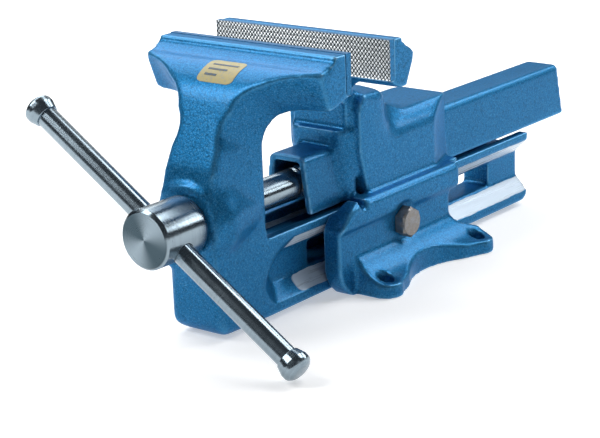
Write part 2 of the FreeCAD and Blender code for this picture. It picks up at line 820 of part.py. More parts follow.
def round_foot(body):
    """Rounds the leg's two lower corners, fading out towards the slide."""
    for name, place in (("right_foot", list), ("left_foot", flipped)):
        loft_cut(body, name, "XZ_Plane",
                 (("front", place(foot_corner("foot_round", "leg_low")), "-(panel_cut_y)"),
                  ("back", place(foot_corner("foot_fade", "slide_low")), "-(neck_back)")))


def cut_front_jaw(body):
    low = "low_bevel+slide_half-slide_web+window_gap"
    high = "high_bevel-slide_half+slide_web-window_gap"
    across_x(body, "slide_window", [rectangle("window_front", low, "window_back", high)],
             "slide_half", cut=True)
    end = [("slide_end-slide_end_round", "slide_low", "slide_end_round", 1),
           ("slide_end", "slide_low+slide_end_round"), ("slide_end+past", "slide_low+slide_end_round"),
           ("slide_end+past", "slide_low-past"), ("slide_end-slide_end_round", "slide_low-past")]
    across_x(body, "slide_end_round", [end], "jaw_half", cut=True)
    channel = rectangle("-channel_half", "channel_floor", "channel_half", "slide_top+past")
    along_y(body, "slide_channel", [channel], "neck_back+hair", "slide_end+past", cut=True)
    corner = [("neck_half", "leg_front+leg_corner", "leg_corner", -1),
              ("neck_half-leg_corner", "leg_front"), ("neck_half-leg_corner", "panel_cut_y"),
              ("jaw_half", "panel_cut_y"), ("jaw_half", "leg_front+leg_corner")]
    along_z(body, "leg_corners", [corner, flipped(corner)], "-past", "leg_corner_high", cut=True)
    along_y(body, "spindle_bore", [], "boss_face-past", "neck_back+past", cut=True,
            circles=[("0", "axis_high", "screw_radius+run_gap")])
    along_y(body, "collar_seat", [], "collar_front-turn_gap", "neck_back+past", cut=True,
            circles=[("0", "axis_high", "collar_radius+turn_gap")])
    along_y(body, "plate_pin_holes", [], "face_front-plate_pin_length", "face_front", cut=True,
            circles=pin_places("plate_pin_radius"))


def make_washer():
    body = new_body("thrust_washer")
    along_y(body, "ring", [], "boss_face-washer_thick", "boss_face",
            circles=[("0", "axis_high", "washer_radius"),
                     ("0", "axis_high", "screw_radius+run_gap")])
    return body


# ---------------------------------------------------------------- spindle and handle


def turn(body, name, points):
    """Adds a piece turned about the spindle axis: points are (Y, Z) on one side of it."""
    sketch = new_sketch(body, name + "_sketch", "YZ_Plane")
    add_outline(sketch, points)
    add_axis(sketch, "axis_high")
    feature = body.newObject("PartDesign::Revolution", name)
    feature.Profile = sketch
    feature.ReferenceAxis = (sketch, ["Axis0"])
    feature.Angle = 360
    sketch.Visibility = False
    doc.recompute()
    return feature


def add_axis(sketch, height):
    """A construction line at a height, for turning about."""
    first = FreeCAD.Vector(0, number(height), 0)
    second = FreeCAD.Vector(10, number(height), 0)
    line = sketch.addGeometry(Part.LineSegment(first, second), True)
    for point in (1, 2):
        made = sketch.addConstraint(Sketcher.Constraint("DistanceY", line, point, number(height)))
        bind(sketch, "Constraints[%d]" % made, height)


def turned(name, points):
    body = new_body(name)
    turn(body, "turning", [(y, "axis_high+%s" % radius) for y, radius in points])
    return body


def make_screw():
    body = turned("spindle_screw", [("screw_start", "0"), ("screw_end", "0"),
                                    ("screw_end", "screw_radius-screw_chamfer"),
                                    ("screw_end-screw_chamfer", "screw_radius"),
                                    ("thread_start", "screw_radius"),
                                    ("thread_start-past", "shank_radius"),
                                    ("screw_start", "shank_radius")])
    cut_bar_hole(body)
    cut_head_pin(body)
    along_z(body, "collar_pin_hole", [], "axis_high-collar_radius", "axis_high+collar_radius",
            cut=True, circles=[("0", "(collar_front+collar_back)/2", "collar_pin_radius")])
    return body


def cut_head_pin(body):
    along_z(body, "head_pin_hole", [], "axis_high-head_radius-past", "axis_high+head_radius+past",
            cut=True, circles=[("0", "head_pin_y", "head_pin_radius")])


def cut_bar_hole(body):
    """The cross hole for the handle bar, bored at the bar's own tilt."""
    sketch = new_sketch(body, "bar_hole_sketch", "YZ_Plane")
    sketch.setExpression("AttachmentOffset.Base.y", formula("axis_high"))
    sketch.setExpression("AttachmentOffset.Base.x", formula("bar_y"))
    sketch.setExpression("AttachmentOffset.Rotation.Angle", formula("bar_tilt"))
    sketch.AttachmentOffset = FreeCAD.Placement(
        FreeCAD.Vector(number("bar_y"), number("axis_high"), 0),
        FreeCAD.Rotation(FreeCAD.Vector(1, 0, 0), number("bar_tilt")))
    add_circle(sketch, "0", "0", "bar_radius+turn_gap")
    feature = body.newObject("PartDesign::Pocket", "bar_hole")
    feature.Profile = sketch
    feature.Type = "Length"
    feature.SideType = "Symmetric"
    bind(feature, "Length", "bar_hole_length")
    sketch.Visibility = False
    doc.recompute()


def make_head():
    body = turned("spindle_head", [("head_front", "0"), ("screw_start", "0"),
                                   ("screw_start", "shank_radius"), ("head_back", "shank_radius"),
                                   ("head_back", "head_radius-head_chamfer/2"),
                                   ("head_back-head_chamfer/2", "head_radius"),
                                   ("head_front+head_chamfer", "head_radius"),
                                   ("head_front", "head_radius-head_chamfer")])
    cut_bar_hole(body)
    cut_head_pin(body)
    return body


def make_head_pin():
    body = new_body("head_pin")
    along_z(body, "pin", [], "axis_high-head_radius+pin_inset", "axis_high+head_radius-pin_inset",
            circles=[("0", "head_pin_y", "head_pin_radius")])
    round_edges(body, "ends", "pin_chamfer", chamfer=True)
    return body


def make_collar():
    body = turned("retaining_collar", [("collar_front", "shank_radius"),
                                       ("collar_back", "shank_radius"),
                                       ("collar_back", "collar_radius"),
                                       ("collar_front", "collar_radius")])
    along_z(body, "pin_hole", [], "axis_high-collar_radius-past", "axis_high+collar_radius+past",
            cut=True, circles=[("0", "(collar_front+collar_back)/2", "collar_pin_radius")])
    return body


def make_collar_pin():
    body = new_body("collar_pin")
    along_z(body, "pin", [], "axis_high-collar_radius+pin_inset", "axis_high+collar_radius-pin_inset",
            circles=[("0", "(collar_front+collar_back)/2", "collar_pin_radius")])
    round_edges(body, "ends", "pin_chamfer", chamfer=True)
    return body


def place_on_bar(body):
    """The bar and its knobs are drawn along their own X axis, then tilted into the head."""
    body.setExpression("Placement.Base.y", formula("bar_y"))
    body.setExpression("Placement.Base.z", formula("axis_high"))
    body.Placement = FreeCAD.Placement(
        FreeCAD.Vector(0, number("bar_y"), number("axis_high")),
        FreeCAD.Rotation(FreeCAD.Vector(0, 1, 0), number("bar_tilt")))


def make_bar():
    body = new_body("handle_bar")
    across_x(body, "bar", [], "knob_centre-knob_length/2+knob_wall", circles=[("0", "0", "bar_radius")])
    round_edges(body, "ends", "pin_chamfer", chamfer=True)
    place_on_bar(body)
    return body


def make_knob(name, side):
    """A rounded turned button pressed on the end of the bar."""
    body = new_body(name)
    inner = "%s(knob_centre-knob_length/2)" % side
    bore = "%s(knob_centre-knob_length/2+knob_wall)" % side
    outer = "%s(knob_centre+knob_length/2)" % side
    inner_round = "%s(knob_centre-knob_length/2+knob_round)" % side
    outer_round = "%s(knob_centre+knob_length/2-knob_round)" % side
    turning = 1 if side == "-" else -1
    outline = [(inner, "bar_radius"), (bore, "bar_radius"), (bore, "0"), (outer, "0"),
               (outer, "knob_radius-knob_round", "knob_round", -turning),
               (outer_round, "knob_radius"), (inner_round, "knob_radius", "knob_neck_round", -turning),
               (inner, "bar_radius+knob_step")]
    sketch = new_sketch(body, "turning_sketch", "XY_Plane")
    add_outline(sketch, outline)
    feature = body.newObject("PartDesign::Revolution", "turning")
    feature.Profile = sketch
    feature.ReferenceAxis = (sketch, ["H_Axis"])
    feature.Angle = 360
    sketch.Visibility = False
    doc.recompute()
    place_on_bar(body)
    return body


# ---------------------------------------------------------------- build, check, write


def make_all():
    rear_pin = ("face_rear+plate_thick/2", "face_rear+plate_pin_length")
    front_pin = ("face_front-plate_pin_length", "face_front-plate_thick/2")
    return [
        make_fixed_jaw_body(),
        make_plate("rear_jaw_plate", "face_rear", "face_rear+plate_thick",
                   "face_rear+plate_thick/2", "face_rear+plate_thick+past"),
        make_plate_pin("rear_plate_pin_left", "-plate_pin_x", *rear_pin),
        make_plate_pin("rear_plate_pin_right", "plate_pin_x", *rear_pin),
        make_nut(),
        make_dowel("nut_dowel_front", "nut_front+nut_dowel_inset"),
        make_dowel("nut_dowel_rear", "nut_back-nut_dowel_inset"),
        make_gib(),
        make_gib_bolt(),
        make_front_jaw(),
        make_plate("front_jaw_plate", "face_front-plate_thick", "face_front",
                   "face_front-plate_thick-past", "face_front-plate_thick/2"),
        make_plate_pin("front_plate_pin_left", "-plate_pin_x", *front_pin),
        make_plate_pin("front_plate_pin_right", "plate_pin_x", *front_pin),
        make_washer(),
        make_screw(),
        make_head(),
        make_head_pin(),
        make_collar(),
        make_collar_pin(),
        make_bar(),
        make_knob("handle_knob_upper", "-"),
        make_knob("handle_knob_lower", "+"),
    ]


def check_and_write(bodies):
    doc.recompute()
    for item in doc.Objects:
        state = " ".join(item.State)
        if "Invalid" in state or "Error" in state:
            raise RuntimeError("%s did not build: %s" % (item.Label, state))
    for body in bodies:
        shape = body.Shape
        if shape.isNull() or not shape.isValid() or len(shape.Solids) != 1:
            raise RuntimeError("%s is not one sound solid" % body.Label)
    for body in bodies:
        body.Shape.exportStep("parts/%s.step" % body.Label)


check_and_write(make_all())
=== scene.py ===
import math

import bmesh
import bpy
from mathutils import Matrix, Vector
from mathutils.bvhtree import BVHTree


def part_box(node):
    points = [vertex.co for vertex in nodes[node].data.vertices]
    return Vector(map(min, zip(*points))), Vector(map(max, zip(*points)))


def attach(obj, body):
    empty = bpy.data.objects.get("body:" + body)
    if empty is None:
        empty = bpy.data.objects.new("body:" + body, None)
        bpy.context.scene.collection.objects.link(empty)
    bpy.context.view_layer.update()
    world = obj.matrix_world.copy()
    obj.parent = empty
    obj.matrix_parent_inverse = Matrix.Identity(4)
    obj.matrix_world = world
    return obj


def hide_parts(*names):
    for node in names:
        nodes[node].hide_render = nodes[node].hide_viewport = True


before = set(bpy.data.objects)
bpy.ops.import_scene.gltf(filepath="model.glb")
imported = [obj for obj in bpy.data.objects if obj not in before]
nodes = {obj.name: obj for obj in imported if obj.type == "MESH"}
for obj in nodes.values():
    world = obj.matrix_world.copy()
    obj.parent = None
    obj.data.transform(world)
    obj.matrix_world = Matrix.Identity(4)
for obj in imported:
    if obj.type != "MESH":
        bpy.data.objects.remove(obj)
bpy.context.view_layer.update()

MM = 0.001

# ---------------------------------------------------------------- camera

CAMERA_AZIMUTH = math.radians(38.619)
CAMERA_ELEVATION = math.radians(16.995)
CAMERA_ROLL = math.radians(-2.114)
CAMERA_EYE = Vector((626.09, -850.80, 348.65)) * MM
CAMERA_LENS = 112.45
SENSOR_WIDTH = 36.0
NEAREST, FARTHEST = 0.05, 20.0


def add_camera():
    """The camera looks down a little from the front right, with a slight roll."""
    azimuth, elevation, roll = CAMERA_AZIMUTH, CAMERA_ELEVATION, CAMERA_ROLL
    back = Vector((math.sin(azimuth) * math.cos(elevation),
                   -math.cos(azimuth) * math.cos(elevation), math.sin(elevation)))
    level = Vector((math.cos(azimuth), math.sin(azimuth), 0.0))
    above = back.cross(level)
    right = math.cos(roll) * level + math.sin(roll) * above
    up = -math.sin(roll) * level + math.cos(roll) * above
    data = bpy.data.cameras.new("camera")
    data.lens = CAMERA_LENS
    data.sensor_width = SENSOR_WIDTH
    data.clip_start = NEAREST
    data.clip_end = FARTHEST
    camera = bpy.data.objects.new("camera", data)
    bpy.context.scene.collection.objects.link(camera)
    turn = Matrix((right, up, back)).transposed()
    camera.matrix_world = Matrix.Translation(CAMERA_EYE) @ turn.to_4x4()
    bpy.context.scene.camera = camera


add_camera()

bpy.context.scene.view_settings.view_transform = "Standard"

# ---------------------------------------------------------------- light and floor

# Each softbox: its name, its place and aim, its two sides, all in metres, and its power in watts.
LIGHTS = (
    ("key", (-0.75, -0.85, 1.1), (0, -0.05, 0.05), (0.5, 0.9), 12.5),
    ("fill", (1.3, -0.4, 0.55), (0, 0, 0.06), (0.35, 0.9), 0.5),
    ("top_left", (-0.9, 0.40, 1.1), (0, -0.05, 0.10), (1.2, 0.8), 12.0),
    ("top_right", (0.3, 0.6, 1.3), (0, 0, 0.05), (0.8, 0.5), 7.5),
    ("back_right", (0.45, 1.15, 0.92), (0, -0.02, 0.05), (0.8, 0.45), 6.5),
    ("side", (0.95, 1.12, 0.62), (0, 0.0, 0.09), (0.35, 0.35), 3.4),
    ("back_left", (-0.95, 1.15, 0.72), (0, 0, 0.08), (1.3, 0.6), 2.0),
)
ROOM_TINT = (0.80, 0.88, 1.0, 1.0)
ROOM_STRENGTH = 0.07
FLOOR_HALF = 6.0
FLOOR_TONE = 0.80
FLOOR_ROUGHNESS = 0.7
GLOW_STARTS, GLOW_FULL = 0.35, 1.3
GLOW_NEAR, GLOW_FAR = 0.42, 1.0
WHITE = (1.0, 1.0, 1.0, 1.0)


def add_light(name, place, aim, size, power):
    data = bpy.data.lights.new(name, "AREA")
    data.shape = "RECTANGLE"
    data.size = size[0]
    data.size_y = size[1]
    data.energy = power
    light = bpy.data.objects.new(name, data)
    light.location = place
    light.rotation_euler = (Vector(aim) - Vector(place)).to_track_quat("-Z", "Y").to_euler()
    bpy.context.scene.collection.objects.link(light)


for softbox in LIGHTS:
    add_light(*softbox)

world = bpy.data.worlds.new("studio")
bpy.context.scene.world = world
world.use_nodes = True


def light_world():
    """A dim pale blue room for lighting, which the camera sees as plain white."""
    tree = world.node_tree
    room = tree.nodes["Background"]
    room.inputs["Color"].default_value = ROOM_TINT
    room.inputs["Strength"].default_value = ROOM_STRENGTH
    white = tree.nodes.new("ShaderNodeBackground")
    white.inputs["Color"].default_value = WHITE
    path = tree.nodes.new("ShaderNodeLightPath")
    choose = tree.nodes.new("ShaderNodeMixShader")
    tree.links.new(path.outputs["Is Camera Ray"], choose.inputs[0])
    tree.links.new(room.outputs[0], choose.inputs[1])
    tree.links.new(white.outputs[0], choose.inputs[2])
    tree.links.new(choose.outputs[0], tree.nodes["World Output"].inputs["Surface"])


light_world()


def add_floor():
    """A pale floor that glows more with distance, so that it meets the background seamlessly."""
    mesh = bpy.data.meshes.new("floor")
    half = FLOOR_HALF
    mesh.from_pydata([(-half, -half, 0), (half, -half, 0), (half, half, 0), (-half, half, 0)], [],
                     [(0, 1, 2, 3)])
    floor = bpy.data.objects.new("floor", mesh)
    bpy.context.scene.collection.objects.link(floor)
    material = bpy.data.materials.new("floor")
    material.use_nodes = True
    shader = material.node_tree.nodes["Principled BSDF"]
    shader.inputs["Base Color"].default_value = (FLOOR_TONE, FLOOR_TONE, FLOOR_TONE, 1.0)
    shader.inputs["Roughness"].default_value = FLOOR_ROUGHNESS
    shader.inputs["Emission Color"].default_value = WHITE
    tree = material.node_tree
    coords = tree.nodes.new("ShaderNodeTexCoord")
    reach = tree.nodes.new("ShaderNodeVectorMath")
    reach.operation = "LENGTH"
    glow = tree.nodes.new("ShaderNodeMapRange")
    for name, number in (("From Min", GLOW_STARTS), ("From Max", GLOW_FULL),
                         ("To Min", GLOW_NEAR), ("To Max", GLOW_FAR)):
        glow.inputs[name].default_value = number
    tree.links.new(coords.outputs["Object"], reach.inputs[0])
    tree.links.new(reach.outputs["Value"], glow.inputs["Value"])
    tree.links.new(glow.outputs[0], shader.inputs["Emission Strength"])
    mesh.materials.append(material)


add_floor()

# ---------------------------------------------------------------- material building


class Graph:
    """A short way to write a node material."""

    def __init__(self, name):
        self.material = bpy.data.materials.new(name)
        self.material.use_nodes = True
        self.tree = self.material.node_tree
        self.shader = self.tree.nodes["Principled BSDF"]
        coords = self.tree.nodes.new("ShaderNodeTexCoord")
        self.place = coords.outputs["Object"]

    def put(self, socket, value):
        """Sets a socket to a plain value, or links it to another node's output."""
        if isinstance(value, bpy.types.NodeSocket):
            self.tree.links.new(value, socket)
        elif value is not None:
            socket.default_value = value

    def math(self, operation, first, second=None, clamp=False):
        node = self.tree.nodes.new("ShaderNodeMath")
        node.operation = operation
        node.use_clamp = clamp
        self.put(node.inputs[0], first)
        self.put(node.inputs[1], second)
        return node.outputs[0]

    def parts(self, vector):
        node = self.tree.nodes.new("ShaderNodeSeparateXYZ")
        self.put(node.inputs[0], vector)
        return node.outputs

    def scaled(self, factors, vector=None):
        """The object coordinates with each axis multiplied by its own factor."""
        node = self.tree.nodes.new("ShaderNodeVectorMath")
        node.operation = "MULTIPLY"
        self.put(node.inputs[0], vector or self.place)
        self.put(node.inputs[1], factors)
        return node.outputs[0]

    def noise(self, vector, scale, detail=2.0, roughness=0.5, distortion=0.0):
        node = self.tree.nodes.new("ShaderNodeTexNoise")
        self.put(node.inputs["Vector"], vector)
        self.put(node.inputs["Scale"], scale)
        self.put(node.inputs["Detail"], detail)
        self.put(node.inputs["Roughness"], roughness)
        self.put(node.inputs["Distortion"], distortion)
        return node.outputs["Fac"]

    def voronoi(self, vector, scale, feature="F1"):
        node = self.tree.nodes.new("ShaderNodeTexVoronoi")
        node.feature = feature
        self.put(node.inputs["Vector"], vector)
        self.put(node.inputs["Scale"], scale)
        return node.outputs["Distance"]

    def ramp(self, value, low, high, start=0.0, end=1.0):
        """Maps low..high to start..end, held at both ends."""
        node = self.tree.nodes.new("ShaderNodeMapRange")
        self.put(node.inputs["Value"], value)
        for name, number in (("From Min", low), ("From Max", high),
                             ("To Min", start), ("To Max", end)):
            node.inputs[name].default_value = number
        return node.outputs[0]

    def mix(self, factor, first, second):
        node = self.tree.nodes.new("ShaderNodeMix")
        node.data_type = "RGBA"
        self.put(node.inputs[0], factor)
        for socket, value in ((node.inputs[6], first), (node.inputs[7], second)):
            if isinstance(value, tuple) and len(value) == 3:
                value = (*value, 1.0)
            self.put(socket, value)
        return node.outputs[2]

    def blend(self, factor, first, second):
        """A plain number blended between two others."""
        node = self.tree.nodes.new("ShaderNodeMix")
        self.put(node.inputs[0], factor)
        self.put(node.inputs[2], first)
        self.put(node.inputs[3], second)
        return node.outputs[0]

    def bump(self, height, distance, strength=1.0, under=None):
        node = self.tree.nodes.new("ShaderNodeBump")
        self.put(node.inputs["Height"], height)
        self.put(node.inputs["Distance"], distance)
        self.put(node.inputs["Strength"], strength)
        if under is not None:
            self.put(node.inputs["Normal"], under)
        return node.outputs[0]

    def set(self, **sockets):
        for name, value in sockets.items():
            if isinstance(value, tuple) and len(value) == 3:
                value = (*value, 1.0)
            self.put(self.shader.inputs[name.replace("_", " ")], value)


# ---------------------------------------------------------------- materials

DEEP_BLUE = (0.003, 0.085, 0.20)
MID_BLUE = (0.012, 0.170, 0.40)
PALE_BLUE = (0.09, 0.34, 0.60)
# The pale blue of the strongest painted edge highlights.
EDGE_HIGHLIGHT_BLUE = (0.38, 0.62, 0.82)
STEEL = (0.27, 0.34, 0.39)
STEEL_DARK = (0.10, 0.13, 0.15)
BARE_STEEL = (0.56, 0.66, 0.76)
PER_MM = 1000.0
PAINT_METAL = 0.5
PAINT_SHEEN = 0.12
PAINT_COAT = 0.13
COAT_ROUGHNESS = 0.16
SHEEN_TINT = (0.30, 0.62, 0.95)
PLAIN_TINT = (1.0, 1.0, 1.0)

# How fine the paint's grain is, in features per metre.
CELL_SCALE = 900.0
SPECKLE_SCALE = 1500.0
BROAD_SCALE = 26.0
ORANGE_PEEL_SCALE = 300.0

# How far a surface bends: flat is 0.5, hollows are lower and edges are higher.
# Hollows get painted shade across the first range, and edges get painted highlights across the
# other two.
HOLLOW_SHADE_BEND = (0.40, 0.48)
SOFT_HIGHLIGHT_BEND = (0.508, 0.54)
STRONG_HIGHLIGHT_BEND = (0.530, 0.59)


def add_paint(graph, painted_light=True):
    """Hammered enamel: a fine metallic grain, with painted highlights along edges and painted
    shade in hollows.
    """
    geometry = graph.tree.nodes.new("ShaderNodeNewGeometry")
    bend = geometry.outputs["Pointiness"]
    cells = graph.voronoi(graph.place, CELL_SCALE, "SMOOTH_F1")
    speckle = graph.noise(graph.place, SPECKLE_SCALE, 3.0, 0.7)
    broad = graph.noise(graph.place, BROAD_SCALE, 3.0, 0.55)
    colour = graph.mix(graph.ramp(cells, 0.12, 0.75), MID_BLUE, DEEP_BLUE)
    colour = graph.mix(graph.ramp(speckle, 0.52, 0.66, 0.0, 0.65), colour, PALE_BLUE)
    colour = graph.mix(graph.ramp(broad, 0.35, 0.75, 0.0, 0.25), colour, DEEP_BLUE)
    # Painted shade in hollows and painted highlights along edges, set by how far the surface
    # bends.
    if painted_light:
        colour = graph.mix(graph.ramp(bend, *HOLLOW_SHADE_BEND, 0.5, 0.0), colour, DEEP_BLUE)
        colour = graph.mix(graph.ramp(bend, *SOFT_HIGHLIGHT_BEND, 0.0, 0.6), colour, PALE_BLUE)
        colour = graph.mix(graph.ramp(bend, *STRONG_HIGHLIGHT_BEND, 0.0, 0.75), colour, EDGE_HIGHLIGHT_BLUE)
    rough = graph.ramp(speckle, 0.3, 0.7, 0.28, 0.44)
    fine = graph.bump(graph.ramp(cells, 0.1, 0.8, 1.0, 0.0), 0.00010, 0.5)
    peel = graph.noise(graph.place, ORANGE_PEEL_SCALE, 2.0, 0.5)
    normal = graph.bump(peel, 0.00012, 0.4, fine)
    return colour, rough, normal


def add_steel(graph, stretch, streak_scale):
    """Machined steel: fine tool marks that run along one axis, with faint broader streaks."""
    marks = graph.noise(graph.scaled(stretch), 60.0 * streak_scale, 4.0, 0.65)
    streaks = graph.noise(graph.scaled(stretch), 9.0 * streak_scale, 2.0, 0.5)
    colour = graph.mix(graph.ramp(marks, 0.3, 0.7), STEEL, STEEL_DARK)
    colour = graph.mix(graph.ramp(streaks, 0.3, 0.7, 0.0, 0.5), colour, STEEL)
    rough = graph.ramp(marks, 0.3, 0.7, 0.22, 0.38)
    normal = graph.bump(marks, 0.00004, 0.5)
    return colour, rough, normal


def band(graph, value, low, high, soft):
    """1 where a coordinate lies between two values, with soft ends."""
    rise = graph.ramp(value, low - soft, low + soft)
    fall = graph.ramp(value, high - soft, high + soft, 1.0, 0.0)
    return graph.math("MULTIPLY", rise, fall)


def paint_material(name):
    graph = Graph(name)
    colour, rough, normal = add_paint(graph)
    graph.set(Base_Color=colour, Roughness=rough, Normal=normal, Metallic=PAINT_METAL,
              Specular_IOR_Level=PAINT_SHEEN, Specular_Tint=SHEEN_TINT,
              Coat_Weight=PAINT_COAT, Coat_Roughness=COAT_ROUGHNESS)
    return graph.material


# Where the guide bevels are machined bare, in mm: their heights, their front ends and how far out.
LOW_BEVEL = (9.2, 17.2)
TOP_BEVEL = (34.4, 42.0)
LOW_BEVEL_FRONT, TOP_BEVEL_FRONT = -91.0, -95.0
BEVEL_BACK = 160.0
BEVEL_SPAN = (9.5, 18.3)
BEVEL_MIDDLE, BEVEL_HALF = 13.2, 4.0
BEVEL_END_ROUND = 4.0
BEVEL_EDGE, BEVEL_END_EDGE, BEVEL_SIDE_EDGE = 0.12, 0.6, 0.05
BEVEL_METAL = 0.20
ALONG_THE_SLIDE = (6.0, 0.25, 6.0)


def slide_material(name):
    """Paint, with the two guide bevels of the slide machined bare."""
    graph = Graph(name)
    colour, rough, normal = add_paint(graph)
    x, y, z = graph.parts(graph.scaled((PER_MM, PER_MM, PER_MM)))
    steel_colour, steel_rough, steel_normal = add_steel(graph, ALONG_THE_SLIDE, 1.2)
    steel_colour = graph.mix(0.92, steel_colour, BARE_STEEL)
    wander = graph.ramp(graph.noise(graph.place, 90.0, 2.0), 0.2, 0.8, -0.5, 0.5)
    high = graph.math("ADD", z, wander)
    away = graph.math("ABSOLUTE", x)
    across = graph.math("DIVIDE", graph.math("SUBTRACT", high, BEVEL_MIDDLE), BEVEL_HALF)
    drawn_in = graph.math("MULTIPLY", graph.math("POWER", graph.math("ABSOLUTE", across), 4.0),
                          BEVEL_END_ROUND)
    rounded_end = graph.math("SUBTRACT", y, drawn_in)
    low_face = graph.math("MULTIPLY", band(graph, high, *LOW_BEVEL, BEVEL_EDGE),
                          band(graph, rounded_end, LOW_BEVEL_FRONT, BEVEL_BACK, BEVEL_END_EDGE))
    top_face = graph.math("MULTIPLY", band(graph, high, *TOP_BEVEL, BEVEL_EDGE),
                          band(graph, y, TOP_BEVEL_FRONT, BEVEL_BACK, BEVEL_END_EDGE))
    bare = graph.math("MULTIPLY", graph.math("ADD", low_face, top_face, True),
                      band(graph, away, *BEVEL_SPAN, BEVEL_SIDE_EDGE))
    graph.set(Base_Color=graph.mix(bare, colour, steel_colour),
              Roughness=graph.blend(bare, rough, steel_rough),
              Metallic=graph.blend(bare, PAINT_METAL, BEVEL_METAL),
              Specular_IOR_Level=PAINT_SHEEN,
              Specular_Tint=graph.mix(bare, SHEEN_TINT, PLAIN_TINT),
              Coat_Weight=graph.blend(bare, PAINT_COAT, 0.0), Coat_Roughness=COAT_ROUGHNESS)
    mixed = graph.tree.nodes.new("ShaderNodeMix")
    mixed.data_type = "VECTOR"
    graph.put(mixed.inputs[0], bare)
    graph.put(mixed.inputs[4], normal)
    graph.put(mixed.inputs[5], steel_normal)
    graph.set(Normal=mixed.outputs[1])
    return graph.material


paint = paint_material("hammered_blue")
slide_paint = slide_material("hammered_blue_and_bevels")

# ---------------------------------------------------------------- castings


def add_object(name, mesh):
    item = bpy.data.objects.new(name, mesh)
    bpy.context.scene.collection.objects.link(item)
    return item


def evaluated(item, name):
    """A plain mesh of an object with its modifiers applied."""
    bpy.context.view_layer.update()
    graph = bpy.context.evaluated_depsgraph_get()
    mesh = bpy.data.meshes.new_from_object(item.evaluated_get(graph))
    mesh.name = name
    return mesh


def apply_smoothing(piece, weights, passes):
    """Smooths a mesh with a strength from 0 to 1 at each vertex, given in steps of a tenth."""
    group = piece.vertex_groups.new(name="cast")
    levels = {}
    for index, weight in enumerate(weights):
        levels.setdefault(round(weight, 1), []).append(index)
    for level, members in levels.items():
        group.add(members, level, "REPLACE")
    smooth = piece.modifiers.new("fillets", "SMOOTH")
    smooth.vertex_group = "cast"
    smooth.factor = 0.5
    smooth.iterations = passes
    mesh = evaluated(piece, piece.name)
    piece.modifiers.clear()
    piece.data = mesh
    piece.vertex_groups.clear()


def nearness(point, centre, reach):
    """1 at the middle of an ellipsoid, falling to 0 at its surface."""
    away = math.sqrt(sum(((here - there) / span) ** 2
                         for here, there, span in zip(point, centre, reach)))
    return max(1.0 - away, 0.0)


VOXEL = 0.0010
FULL_STRENGTH_SHARE = 1.5


def casting(node, name, body, material, passes, keep, hollows):
    """A cast-looking copy of a CAD node: remeshed finely, then smoothed where it isn't machined.

    keep says how strongly each point is smoothed; hollows are places that are smoothed further."""
    rough = add_object(name + "_rough", nodes[node].data.copy())
    remesh = rough.modifiers.new("grain", "REMESH")
    remesh.mode = "VOXEL"
    remesh.voxel_size = VOXEL
    piece = add_object(name, evaluated(rough, name))
    bpy.data.objects.remove(rough)
    apply_smoothing(piece, [keep(vertex.co / MM) for vertex in piece.data.vertices], passes)
    for centre, reach, more in hollows:
        near = [min(FULL_STRENGTH_SHARE * nearness(vertex.co / MM, centre, reach), 1.0)
                for vertex in piece.data.vertices]
        apply_smoothing(piece, near, more)
    mesh = piece.data
    mesh.materials.clear()
    mesh.materials.append(material)
    for polygon in mesh.polygons:
        polygon.use_smooth = True
        polygon.material_index = 0
    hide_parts(node)
    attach(piece, body)
    return piece


# How strongly the parts of a casting are smoothed, from 0 for machined to 1 for as cast.
CRISP = 0.05
MACHINED = 0.1
NEAR_CRISP = 0.15
SLIDE_SOFT = 0.25
MOUTH_SOFT = 0.4

# Heights and depths that bound those parts, in mm.
SLIDE_FRONT, SLIDE_HIGH = -120, 52
PLATE_LOW, LIP_LOW = 126, 144
FRONT_PLATE_BACK, REAR_PLATE_BACK = -101, -56
SPINDLE_HIGH, BOSS_FACE, BOSS_RIM, BOSS_TOP = 64, -160, 19, 86
GUIDE_HALF, GUIDE_HIGH = 19.5, 48.5
FOOT_HIGH = 1.5
EAR_HOLE_X, EAR_HOLE_Y, EAR_HOLE_RIM, EAR_HIGH = 43.5, 46.5, 6.5, 10
MOUTH_LOW, MOUTH_HALF, MOUTH_FRONT, MOUTH_BACK = 47, 17, -51, 60


def front_jaw_cast(point):
    """Little on the slide, the plate seat, the lip and the boss's face; full elsewhere."""
    x, y, z = point
    amount = 1.0
    if y > SLIDE_FRONT and z < SLIDE_HIGH:
        amount = SLIDE_SOFT
    if z > PLATE_LOW and y > FRONT_PLATE_BACK:
        amount = CRISP
    if z > LIP_LOW:
        amount = min(amount, NEAR_CRISP)
    if y < BOSS_FACE and math.hypot(x, z - SPINDLE_HIGH) < BOSS_RIM and z < BOSS_TOP:
        amount = MACHINED
    return amount


def fixed_jaw_cast(point):
    """Little in the guide, the plate seat, the lip, the foot and the ear holes; full elsewhere."""
    x, y, z = point
    amount = 1.0
    if abs(x) < GUIDE_HALF and z < GUIDE_HIGH:
        amount = MACHINED
    if z > PLATE_LOW and y < REAR_PLATE_BACK:
        amount = CRISP
    if z > LIP_LOW:
        amount = min(amount, NEAR_CRISP)
    if z < FOOT_HIGH:
        amount = min(amount, MACHINED)
    if math.hypot(abs(x) - EAR_HOLE_X, abs(y) - EAR_HOLE_Y) < EAR_HOLE_RIM and z < EAR_HIGH:
        amount = min(amount, MACHINED)
    if z > MOUTH_LOW and abs(x) < MOUTH_HALF and (y < MOUTH_FRONT or y > MOUTH_BACK):
        amount = min(amount, MOUTH_SOFT)
    return amount


# Places smoothed further: centre and reach in mm, then the number of passes. They are the flank of
# the spindle boss, then the anvil's lobe, the hollow behind it and the root of the rear jaw.
FRONT_HOLLOWS = (((22.0, -150.0, 75.0), (14.0, 20.0, 20.0), 260),)
REAR_HOLLOWS = (((25.0, -17.0, 95.0), (20.0, 22.0, 30.0), 320),
                ((24.0, 12.0, 86.0), (14.0, 26.0, 14.0), 60),
                ((20.0, -50.0, 114.0), (26.0, 14.0, 10.0), 120))
FRONT_PASSES, REAR_PASSES = 36, 24

